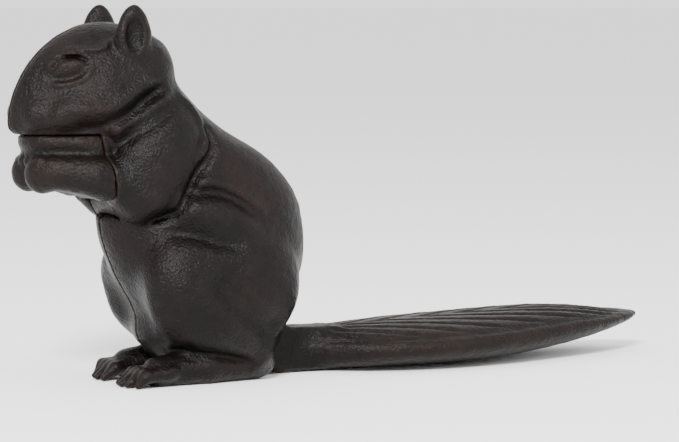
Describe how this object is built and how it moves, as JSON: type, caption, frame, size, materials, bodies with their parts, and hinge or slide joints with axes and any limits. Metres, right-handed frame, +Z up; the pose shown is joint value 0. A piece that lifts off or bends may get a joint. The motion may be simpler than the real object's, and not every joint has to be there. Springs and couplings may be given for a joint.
{
  "type": "nutcracker",
  "caption": "Cast-iron nutcracker shaped as a sitting squirrel; its leaf-shaped tail is a lever that works the hands and lower jaw against the muzzle to crack a nut.",
  "frame": {"origin": "on the ground plane, under the middle of the whole object's bounding box", "axes": "the squirrel looks along -X and its tail points along +X; +Y is its right side; +Z is up"},
  "size_m": [0.1847, 0.045, 0.095],
  "materials": {
    "cast_body": "dark brown semi-gloss coating over a pitted casting",
    "cast_lever": "dark brown semi-gloss coating, rubbed on its edges",
    "pin_steel": "bright turned steel",
    "screw_steel": "blackened steel"
  },
  "bodies": {
    "figure": {"body_left": "cast_body", "body_right": "cast_body", "pivot_pin": "pin_steel", "head_screw": "screw_steel", "back_screw": "screw_steel", "leg_screw": "screw_steel"},
    "lever": {"tail_lever": "cast_lever"}
  },
  "joints": [
    {"name": "tail_lift", "type": "hinge", "parent": "figure", "child": "lever", "pos_m": [-0.06, 0, 0.048], "axis": [0, -1, 0], "range_deg": [0, 30]}
  ]
}
